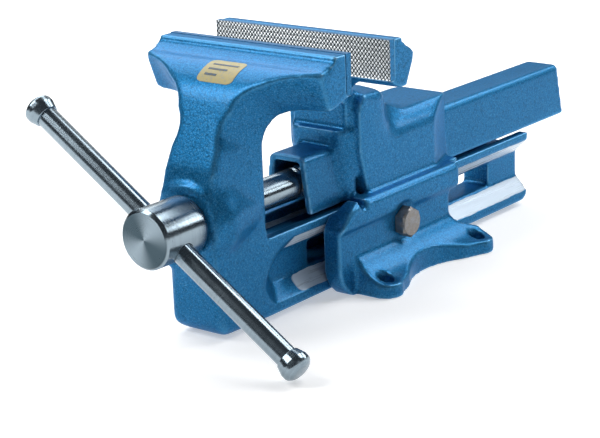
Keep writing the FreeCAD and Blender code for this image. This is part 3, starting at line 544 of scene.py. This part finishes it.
front_casting = casting("front_jaw", "front_casting", "moving_jaw", slide_paint, FRONT_PASSES,
                        front_jaw_cast, FRONT_HOLLOWS)
casting("fixed_jaw_body", "rear_casting", "base", paint, REAR_PASSES, fixed_jaw_cast, REAR_HOLLOWS)

# ---------------------------------------------------------------- turned pieces

# Lengths and radii here are in mm.
AXIS_HEIGHT = 64.0
BAR_TILT = math.radians(33.3)
BAR_Y = -179.5
BAR_RADIUS = 6.0
BAR_REACH = 97.4
BAR_EDGE = 0.4
BAR_HOLE_RADIUS = 6.35
BAR_HOLE_REACH = 30
KNOB_START = 93.7
HEAD_FACE, HEAD_BACK, HEAD_POCKET = -194.3, -163.8, -166
HEAD_RADIUS, HEAD_RIM_RADIUS, HEAD_BORE = 16.25, 14.6, 8.9
HEAD_RIM_DEPTH = 1.7
HEAD_ROUND, HEAD_SHOULDER_ROUND = 0.6, 0.8
ROUNDING_STEPS = 6
ON_THE_AXIS = 1e-6
FACE_CREASE = math.radians(32)


def rounded_profile(corners):
    """A lathe profile in mm. A corner is (along, radius) or (along, radius, rounding)."""
    points = []
    for index, corner in enumerate(corners):
        here = Vector(corner[:2])
        if len(corner) == 2:
            points.append(here)
            continue
        before = Vector(corners[index - 1][:2]) - here
        after = Vector(corners[index + 1][:2]) - here
        half_angle = before.angle(after) / 2.0
        reach = corner[2] / math.tan(half_angle)
        first = here + before.normalized() * reach
        last = here + after.normalized() * reach
        middle = (before.normalized() + after.normalized()).normalized()
        centre = here + middle * corner[2] / math.sin(half_angle)
        start = first - centre
        sweep = start.angle_signed(last - centre)
        for count in range(ROUNDING_STEPS + 1):
            angle = -sweep * count / ROUNDING_STEPS
            points.append(centre + Vector((start.x * math.cos(angle) - start.y * math.sin(angle),
                                           start.x * math.sin(angle) + start.y * math.cos(angle))))
    return points


def lathe(name, corners, sides=96):
    """A turned solid about its own local Y axis."""
    points = rounded_profile(corners)
    builder = bmesh.new()
    rings = []
    for along, radius in points:
        if radius < ON_THE_AXIS:
            rings.append([builder.verts.new((0, along * MM, 0))])
            continue
        ring = []
        for index in range(sides):
            angle = 2 * math.pi * index / sides
            ring.append(builder.verts.new((radius * math.cos(angle) * MM, along * MM,
                                           radius * math.sin(angle) * MM)))
        rings.append(ring)
    for low, high in zip(rings, rings[1:]):
        for index in range(sides):
            following = (index + 1) % sides
            if len(low) == 1 and len(high) == 1:
                continue
            if len(low) == 1:
                builder.faces.new((low[0], high[index], high[following]))
            elif len(high) == 1:
                builder.faces.new((low[following], low[index], high[0]))
            else:
                builder.faces.new((low[following], low[index], high[index], high[following]))
    bmesh.ops.recalc_face_normals(builder, faces=builder.faces)
    mesh = bpy.data.meshes.new(name)
    builder.to_mesh(mesh)
    builder.free()
    for polygon in mesh.polygons:
        polygon.use_smooth = True
    mesh.set_sharp_from_angle(angle=FACE_CREASE)
    return add_object(name, mesh)


def finish_piece(piece, node, body, material, matrix=None):
    """Places a piece, gives it its material, and lets it stand for its CAD node."""
    if matrix is not None:
        piece.matrix_world = matrix
    piece.data.materials.clear()
    piece.data.materials.append(material)
    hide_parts(node)
    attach(piece, body)
    return piece


# The shine of turned steel: its roughness, how far it is stretched and which way it runs.
SHINE_ROUGHNESS = 0.24
SHINE_STRETCH = 0.75
ACROSS_THE_MARKS = 0.25
RING_SCALE, BROAD_RING_SCALE, SMUDGE_SCALE = 900.0, 240.0, 55.0

# The painted reflection on a faced end, a fan of light and dark sectors: its turn in radians, its
# depth in mm and its dark tone, which is painted shade.
FAN_TURN = 0.9
FAN_FULL, FAN_GONE = 0.4, 0.9
FAN_SHADE_TONE = (0.055, 0.085, 0.105)


def turned_material(name, face=None):
    """Bright turned steel: ring marks about the piece's own Y axis and a streaked shine.

    face is where an end face lies on that axis, in mm, if it is faced off; that face gets a
    painted reflection, a fan of light and dark sectors."""
    graph = Graph(name)
    x, y, z = graph.parts(graph.place)
    radius = graph.math("SQRT", graph.math("ADD", graph.math("MULTIPLY", x, x),
                                           graph.math("MULTIPLY", z, z)))
    rings = graph.tree.nodes.new("ShaderNodeCombineXYZ")
    graph.put(rings.inputs[0], radius)
    graph.put(rings.inputs[1], y)
    marks = graph.noise(rings.outputs[0], RING_SCALE, 2.0, 0.5)
    broad = graph.noise(rings.outputs[0], BROAD_RING_SCALE, 2.0, 0.5)
    smudge = graph.noise(graph.place, SMUDGE_SCALE, 3.0, 0.6)
    colour = graph.mix(graph.ramp(marks, 0.3, 0.7, 0.0, 0.22), STEEL, STEEL_DARK)
    colour = graph.mix(graph.ramp(broad, 0.35, 0.7, 0.0, 0.25), colour, STEEL)
    if face is not None:
        # A painted reflection on the faced end: light and dark sectors fixed at one turn, over a
        # painted dark tone.
        on_face = graph.ramp(y, (face + FAN_FULL) * MM, (face + FAN_GONE) * MM, 1.0, 0.0)
        turn = graph.math("ADD", graph.math("ARCTAN2", x, z), FAN_TURN)
        fan = graph.ramp(graph.math("ABSOLUTE", graph.math("SINE", turn)), 0.25, 1.0)
        painted_fan = graph.mix(graph.math("POWER", fan, 2.0), FAN_SHADE_TONE, STEEL)
        colour = graph.mix(on_face, colour, painted_fan)
    rough = graph.math("ADD",
                       graph.ramp(marks, 0.3, 0.7, SHINE_ROUGHNESS - 0.02, SHINE_ROUGHNESS + 0.02),
                       graph.ramp(smudge, 0.3, 0.7, -0.02, 0.04))
    tangent = graph.tree.nodes.new("ShaderNodeTangent")
    tangent.direction_type = "RADIAL"
    tangent.axis = "Y"
    graph.set(Base_Color=colour, Roughness=rough, Metallic=1.0, Anisotropic=SHINE_STRETCH,
              Anisotropic_Rotation=ACROSS_THE_MARKS,
              Tangent=tangent.outputs[0], Normal=graph.bump(marks, 0.000001, 0.2))
    return graph.material


shine = turned_material("turned_bright")
head_shine = turned_material("turned_head", HEAD_FACE)
on_axis = Matrix.Translation((0, 0, AXIS_HEIGHT * MM))
on_bar = (Matrix.Translation((0, BAR_Y * MM, AXIS_HEIGHT * MM))
          @ Matrix.Rotation(BAR_TILT, 4, "Y") @ Matrix.Rotation(math.radians(-90), 4, "Z"))


def add_head():
    """The spindle head, drilled across for the bar."""
    corners = [(HEAD_FACE, 0), (HEAD_FACE, HEAD_RIM_RADIUS, HEAD_ROUND),
               (HEAD_FACE + HEAD_RIM_DEPTH, HEAD_RADIUS, HEAD_SHOULDER_ROUND),
               (HEAD_BACK, HEAD_RADIUS, HEAD_ROUND), (HEAD_BACK, HEAD_BORE),
               (HEAD_POCKET, HEAD_BORE), (HEAD_POCKET, 0)]
    head = lathe("head_turned", corners, 128)
    drill = lathe("drill", [(-BAR_HOLE_REACH, 0), (-BAR_HOLE_REACH, BAR_HOLE_RADIUS),
                            (BAR_HOLE_REACH, BAR_HOLE_RADIUS), (BAR_HOLE_REACH, 0)], 64)
    head.matrix_world = on_axis
    drill.matrix_world = on_bar
    cut = head.modifiers.new("cross_hole", "BOOLEAN")
    cut.operation = "DIFFERENCE"
    cut.object = drill
    cut.solver = "EXACT"
    mesh = evaluated(head, "head_turned")
    head.modifiers.clear()
    head.data = mesh
    bpy.data.objects.remove(drill)
    mesh.set_sharp_from_angle(angle=FACE_CREASE)
    finish_piece(head, "spindle_head", "spindle", head_shine)


def add_bar():
    """The plain round rod between the knobs."""
    rod = lathe("handle_rod", [(-BAR_REACH, 0), (-BAR_REACH, BAR_RADIUS, BAR_EDGE),
                               (BAR_REACH, BAR_RADIUS, BAR_EDGE), (BAR_REACH, 0)])
    finish_piece(rod, "handle_bar", "handle", shine, on_bar)


def add_knob(name, node, side):
    """A mushroom button: a short shoulder, a rounded rim and a low crown."""
    inner = KNOB_START
    corners = [(inner + 0.3, 5.9), (inner + 0.3, 6.9, 0.5), (inner + 1.6, 7.3, 0.8),
               (inner + 5.0, 8.4, 2.2), (inner + 8.4, 8.3, 2.6), (inner + 10.5, 5.6, 3.0),
               (inner + 11.0, 0)]
    if side < 0:
        corners = [(-corner[0], *corner[1:]) for corner in corners]
    knob = lathe(name, corners)
    finish_piece(knob, node, "handle", shine, on_bar)


add_head()
add_bar()
add_knob("knob_top", "handle_knob_upper", -1)
add_knob("knob_foot", "handle_knob_lower", 1)

# ---------------------------------------------------------------- spindle thread

THREAD_LEAD = 4.0
THREAD_ROOT = 7.0
THREAD_CREST = 9.0
THREAD_START = -76.5
THREAD_END = 143.0
ROOT_SHARE, SLANT_SHARE = 0.32, 0.36
RUN_OUT = 2.0
SHANK_RADIUS = 8.75
SHANK_START = -180.0
SHANK_STOPS, SHANK_HOLDS = 1.5, 1.0
SCREW_END = 144.0
THREAD_SIDES = 48
RINGS_PER_TURN = 12
THREAD_CREASE = math.radians(40)


def thread_radius(along, angle):
    """A trapezoidal right-hand thread: flat crests and roots with slanting sides."""
    phase = ((along / THREAD_LEAD) - angle / (2 * math.pi)) % 1.0
    height = abs(phase - 0.5) * 2.0
    rise = min(max((height - ROOT_SHARE) / SLANT_SHARE, 0.0), 1.0)
    fade = min((along - THREAD_START) / RUN_OUT, (THREAD_END - along) / RUN_OUT, 1.0)
    return THREAD_CREST - (THREAD_CREST - THREAD_ROOT) * (1.0 - rise) * max(fade, 0.0)


def add_screw():
    """The plain shank and the threaded length in one skin."""
    sides = THREAD_SIDES
    builder = bmesh.new()
    rings = []
    length = THREAD_END - THREAD_START
    count = int(length / (THREAD_LEAD / RINGS_PER_TURN))
    threaded = [THREAD_START + length * index / count for index in range(count + 1)]
    for along in [SHANK_START, THREAD_START - SHANK_STOPS] + threaded + [SCREW_END]:
        ring = []
        for index in range(sides):
            angle = 2 * math.pi * index / sides
            plain = along < THREAD_START - SHANK_HOLDS
            radius = SHANK_RADIUS if plain else thread_radius(along, angle)
            if along > THREAD_END:
                radius = THREAD_ROOT
            ring.append(builder.verts.new((radius * math.cos(angle) * MM, along * MM,
                                           radius * math.sin(angle) * MM)))
        rings.append(ring)
    for low, high in zip(rings, rings[1:]):
        for index in range(sides):
            following = (index + 1) % sides
            builder.faces.new((low[following], low[index], high[index], high[following]))
    for ring in (rings[0], rings[-1]):
        builder.faces.new(ring)
    bmesh.ops.recalc_face_normals(builder, faces=builder.faces)
    mesh = bpy.data.meshes.new("screw_thread")
    builder.to_mesh(mesh)
    builder.free()
    for polygon in mesh.polygons:
        polygon.use_smooth = True
    mesh.set_sharp_from_angle(angle=THREAD_CREASE)
    screw = add_object("screw_thread", mesh)
    finish_piece(screw, "spindle_screw", "spindle", shine, on_axis)


add_screw()

# ---------------------------------------------------------------- jaw plates

KNURL_PITCH = 2.3
KNURL_DEPTH = 0.75
KNURL_LEAN = 0.80
KNURL_STEP = KNURL_PITCH / 4
PLATE_THICK = 4.0
PLATE_BORDER = 0.8
REAR_FACE, FRONT_FACE = -61.0, -95.6
PIT_SHADE = (0.006, 0.016, 0.022)
RIDGE_BRIGHT = (0.80, 0.84, 0.86)
GRIME = (0.35, 0.37, 0.38)


def knurl_depth(x, z):
    """Depth below the gripping face: small pyramids in a diamond pattern."""
    first = abs(((x + z * KNURL_LEAN) / KNURL_PITCH) % 1.0 - 0.5) * 2
    second = abs(((x - z * KNURL_LEAN) / KNURL_PITCH) % 1.0 - 0.5) * 2
    return KNURL_DEPTH * (1.0 - min(first, second))


def add_plate(name, node, body, material, face, inward):
    """A jaw plate whose gripping face carries the knurling, with a narrow plain border."""
    low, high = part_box(node)
    low, high = low / MM, high / MM
    columns = int(round((high.x - low.x) / KNURL_STEP))
    rows = int(round((high.z - low.z) / KNURL_STEP))
    builder = bmesh.new()
    grid = []
    for row in range(rows + 1):
        z = low.z + (high.z - low.z) * row / rows
        line = []
        for column in range(columns + 1):
            x = low.x + (high.x - low.x) * column / columns
            edge = min(x - low.x, high.x - x, z - low.z, high.z - z)
            depth = knurl_depth(x, z) * min(edge / PLATE_BORDER, 1.0)
            line.append(builder.verts.new((x * MM, (face + inward * depth) * MM, z * MM)))
        grid.append(line)
    for row in range(rows):
        for column in range(columns):
            builder.faces.new((grid[row][column], grid[row][column + 1],
                               grid[row + 1][column + 1], grid[row + 1][column]))
    back_y = face + inward * PLATE_THICK
    border = (grid[0] + [line[-1] for line in grid[1:]] + grid[-1][-2::-1]
              + [line[0] for line in grid[-2:0:-1]])
    behind = [builder.verts.new((vertex.co.x, back_y * MM, vertex.co.z)) for vertex in border]
    for index in range(len(border)):
        following = (index + 1) % len(border)
        builder.faces.new((border[index], behind[index], behind[following], border[following]))
    builder.faces.new(behind)
    bmesh.ops.recalc_face_normals(builder, faces=builder.faces)
    mesh = bpy.data.meshes.new(name)
    builder.to_mesh(mesh)
    builder.free()
    plate = add_object(name, mesh)
    finish_piece(plate, node, body, material)


def plate_material(name, facing):
    """Bare knurled steel on the face, painted near black in the pits as painted shade; paint laps
    over the plate's edges.
    """
    graph = Graph(name)
    paint_colour, paint_rough, _ = add_paint(graph, False)
    geometry = graph.tree.nodes.new("ShaderNodeNewGeometry")
    _, along, _ = graph.parts(geometry.outputs["True Normal"])
    edge = graph.ramp(graph.math("MULTIPLY", along, facing), 0.1, 0.3, 1.0, 0.0)
    per_pitch = PER_MM / KNURL_PITCH
    across, _, up = graph.parts(graph.scaled((per_pitch, 0.0, PER_MM * KNURL_LEAN / KNURL_PITCH)))
    ridges = [graph.math("ABSOLUTE", graph.math("SUBTRACT", graph.math("FRACT", line), 0.5))
              for line in (graph.math("ADD", across, up), graph.math("SUBTRACT", across, up))]
    # Painted shade: the pits of the knurling are darkened to near black against the ridges.
    pits = graph.ramp(graph.math("MINIMUM", *ridges), 0.10, 0.22)
    grime = graph.noise(graph.place, 160.0, 3.0, 0.6)
    steel = graph.mix(pits, PIT_SHADE, RIDGE_BRIGHT)
    steel = graph.mix(graph.ramp(grime, 0.5, 0.8, 0.0, 0.4), steel, GRIME)
    graph.set(Base_Color=graph.mix(edge, steel, paint_colour),
              Roughness=graph.blend(edge, 0.34, paint_rough),
              Metallic=graph.blend(edge, 0.55, PAINT_METAL),
              Specular_IOR_Level=PAINT_SHEEN)
    return graph.material


add_plate("rear_knurl", "rear_jaw_plate", "base", plate_material("rear_knurling", -1.0),
          REAR_FACE, 1.0)
add_plate("front_knurl", "front_jaw_plate", "moving_jaw", plate_material("front_knurling", 1.0),
          FRONT_FACE, -1.0)

# ---------------------------------------------------------------- gib bolt

BOLT_Y = -10.0
BOLT_Z = 31.0
BOLT_SEAT = 30.35
BOLT_FLATS = 16.0
BOLT_CORNER = BOLT_FLATS / math.sqrt(3)
BOLT_HEIGHT, BOLT_CHAMFER, BOLT_FOOT = 6.4, 1.1, 0.15
BOLT_TOP_RADIUS = BOLT_FLATS / 2 * 0.95
CONE_SLOPE = 1.75
CONE_START = BOLT_HEIGHT - BOLT_CHAMFER
BOLT_SHANK_RADIUS, BOLT_SHANK_DEPTH = 5, 7.5
BOLT_SIDES = 72
BOLT_CREASE = math.radians(24)


def hexagon_radius(along, angle):
    """The head's radius: a hexagon, cut by a cone from the chamfer up, and round on top."""
    if along == BOLT_HEIGHT:
        return BOLT_TOP_RADIUS
    hexagon = BOLT_FLATS / 2 / math.cos((angle % (math.pi / 3)) - math.pi / 6)
    if along < CONE_START:
        return hexagon
    return min(hexagon, BOLT_CORNER - (along - CONE_START) * CONE_SLOPE)


def add_bolt():
    """A hexagon head with its corners turned back to a cone, on a plain shank."""
    builder = bmesh.new()
    sides = BOLT_SIDES

    def ring(along, radius_at):
        points = []
        for index in range(sides):
            angle = 2 * math.pi * index / sides
            radius = radius_at(angle)
            points.append(builder.verts.new(((BOLT_SEAT + along) * MM,
                                             (BOLT_Y + radius * math.sin(angle)) * MM,
                                             (BOLT_Z + radius * math.cos(angle)) * MM)))
        return points

    heads = [ring(along, lambda angle, along=along: hexagon_radius(along, angle))
             for along in (0.0, BOLT_FOOT, CONE_START, BOLT_HEIGHT)]
    shanks = [ring(along, lambda angle: BOLT_SHANK_RADIUS) for along in (-BOLT_SHANK_DEPTH, 0.0)]
    rings = shanks + heads
    for low, high in zip(rings, rings[1:]):
        for index in range(sides):
            following = (index + 1) % sides
            builder.faces.new((low[following], low[index], high[index], high[following]))
    builder.faces.new(rings[0])
    builder.faces.new(rings[-1])
    bmesh.ops.recalc_face_normals(builder, faces=builder.faces)
    mesh = bpy.data.meshes.new("gib_bolt_head")
    builder.to_mesh(mesh)
    builder.free()
    for polygon in mesh.polygons:
        polygon.use_smooth = True
    mesh.set_sharp_from_angle(angle=BOLT_CREASE)
    finish_piece(add_object("gib_bolt_head", mesh), "gib_bolt", "gib_screw", bolt_finish())


BOLT_GREY = (0.24, 0.25, 0.26)
BOLT_BROWN = (0.21, 0.18, 0.155)
SCRATCH_BRIGHT = (0.55, 0.56, 0.57)
SCRATCH_STRETCH = (1.0, 0.6, 4.0)


def bolt_finish():
    """Oiled grey steel with brown staining and fine turning scratches."""
    graph = Graph("bolt_oiled")
    stain = graph.noise(graph.place, 420.0, 4.0, 0.65)
    scratch = graph.noise(graph.scaled(SCRATCH_STRETCH), 700.0, 3.0, 0.7)
    colour = graph.mix(graph.ramp(stain, 0.35, 0.7), BOLT_GREY, BOLT_BROWN)
    colour = graph.mix(graph.ramp(scratch, 0.55, 0.8, 0.0, 0.6), colour, SCRATCH_BRIGHT)
    graph.set(Base_Color=colour, Roughness=graph.ramp(scratch, 0.3, 0.7, 0.34, 0.52),
              Metallic=0.85, Normal=graph.bump(scratch, 0.00008, 0.6))
    return graph.material


add_bolt()

# ---------------------------------------------------------------- badge

BADGE_CENTRE = Vector((1.0, -129.0, 139.0))
BADGE_UP = Vector((0.0, 0.87, 0.49))
BADGE_HALF_WIDE = 12.0
BADGE_HALF_HIGH = 9.0
BADGE_CORNER = 3.0
BADGE_COLUMNS = 16
BADGE_ROWS = 20
BADGE_PROUD = 0.12
BADGE_THICK = 0.1
BADGE_SEARCH = 20.0
BADGE_YELLOW = (0.42, 0.35, 0.12)
BAR_DARK = (0.010, 0.035, 0.055)
BAR_LEFT, BAR_HALF = -8.5, 0.7
BADGE_BARS = ((4.4, 17.0), (0.2, 12.5), (-4.0, 8.0))


def badge_reach(up):
    """Half the label's width at a height above its centre, narrower in the rounded corners."""
    into = max(abs(up) - (BADGE_HALF_HIGH - BADGE_CORNER), 0.0)
    rounding = math.sqrt(max(BADGE_CORNER ** 2 - into ** 2, 0.0))
    return BADGE_HALF_WIDE - BADGE_CORNER + rounding


def add_badge():
    """A plain solid label with three thin bars, laid on the brow of the front jaw."""
    tree = BVHTree.FromObject(front_casting, bpy.context.evaluated_depsgraph_get())
    outward = Vector((1.0, 0.0, 0.0)).cross(BADGE_UP).normalized()

    def laid(across, up, proud):
        spot = BADGE_CENTRE + Vector((across, 0.0, 0.0)) + BADGE_UP * up
        place, normal, _, _ = tree.ray_cast((spot + outward * BADGE_SEARCH) * MM, -outward)
        return place + normal * proud * MM

    def patch(name, rows, proud, colour):
        builder = bmesh.new()
        lines = [[builder.verts.new(laid(*point, proud)) for point in row] for row in rows]
        for low, high in zip(lines, lines[1:]):
            for index in range(len(low) - 1):
                builder.faces.new((low[index], low[index + 1], high[index + 1], high[index]))
        bmesh.ops.recalc_face_normals(builder, faces=builder.faces)
        mesh = bpy.data.meshes.new(name)
        builder.to_mesh(mesh)
        builder.free()
        piece = add_object(name, mesh)
        thicken = piece.modifiers.new("thickness", "SOLIDIFY")
        thicken.thickness = BADGE_THICK * MM
        thicken.offset = 0.0
        solid = evaluated(piece, name)
        piece.modifiers.clear()
        piece.data = solid
        solid.materials.append(badge_paint(name, colour))
        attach(piece, "moving_jaw")

    def grid(low, high, ends):
        rows = []
        for row in range(BADGE_ROWS + 1):
            up = low + (high - low) * row / BADGE_ROWS
            start, end = ends(up)
            rows.append([(start + (end - start) * column / BADGE_COLUMNS, up)
                         for column in range(BADGE_COLUMNS + 1)])
        return rows

    plate = grid(-BADGE_HALF_HIGH, BADGE_HALF_HIGH, lambda up: (-badge_reach(up), badge_reach(up)))
    patch("badge_plate", plate, BADGE_PROUD, BADGE_YELLOW)
    for number, (level, length) in enumerate(BADGE_BARS, start=1):
        bar = grid(level - BAR_HALF, level + BAR_HALF,
                   lambda up, length=length: (BAR_LEFT, BAR_LEFT + length))
        patch("badge_bar_%d" % number, bar, BADGE_PROUD * 2, BAR_DARK)


def badge_paint(name, colour):
    """Thin print, a little worn and mottled."""
    graph = Graph(name)
    wear = graph.noise(graph.place, 700.0, 3.0, 0.6)
    graph.set(Base_Color=graph.mix(graph.ramp(wear, 0.5, 0.8, 0.0, 0.5), colour, MID_BLUE),
              Roughness=graph.ramp(wear, 0.3, 0.7, 0.35, 0.5))
    return graph.material


add_badge()

# ---------------------------------------------------------------- carried-over CAD pieces


def rough_material(name, first, second, scale, roughness, metallic, depth):
    """An unpolished metal: two mottled tones and a matching grain."""
    graph = Graph(name)
    grain = graph.noise(graph.place, scale, 4.0, 0.6)
    graph.set(Base_Color=graph.mix(graph.ramp(grain, 0.35, 0.7), first, second),
              Roughness=graph.ramp(grain, 0.3, 0.7, roughness - 0.06, roughness + 0.08),
              Metallic=metallic, Normal=graph.bump(grain, depth, 0.5))
    return graph.material


# Each metal: its two tones, then the grain's scale, the roughness, the metal share and the depth.
nut_iron = rough_material("nut_iron", (0.10, 0.10, 0.105), (0.20, 0.19, 0.18),
                          420.0, 0.6, 0.7, 0.0002)
gib_steel = rough_material("gib_steel", (0.30, 0.32, 0.34), (0.44, 0.46, 0.48),
                           260.0, 0.34, 1.0, 0.00003)
washer_steel = rough_material("washer_steel", (0.42, 0.44, 0.46), (0.55, 0.57, 0.58),
                              300.0, 0.3, 1.0, 0.00002)
pin_steel = rough_material("pin_steel", (0.20, 0.22, 0.24), (0.36, 0.39, 0.42),
                           500.0, 0.36, 1.0, 0.00003)

CARRIED_OVER = (
    (pin_steel, ("head_pin", "collar_pin", "nut_dowel_front", "nut_dowel_rear",
                 "rear_plate_pin_left", "rear_plate_pin_right",
                 "front_plate_pin_left", "front_plate_pin_right")),
    (washer_steel, ("retaining_collar", "thrust_washer")),
    (gib_steel, ("guide_gib",)),
    (nut_iron, ("spindle_nut",)),
)
for material, names in CARRIED_OVER:
    for node in names:
        nodes[node].data.materials.clear()
        nodes[node].data.materials.append(material)
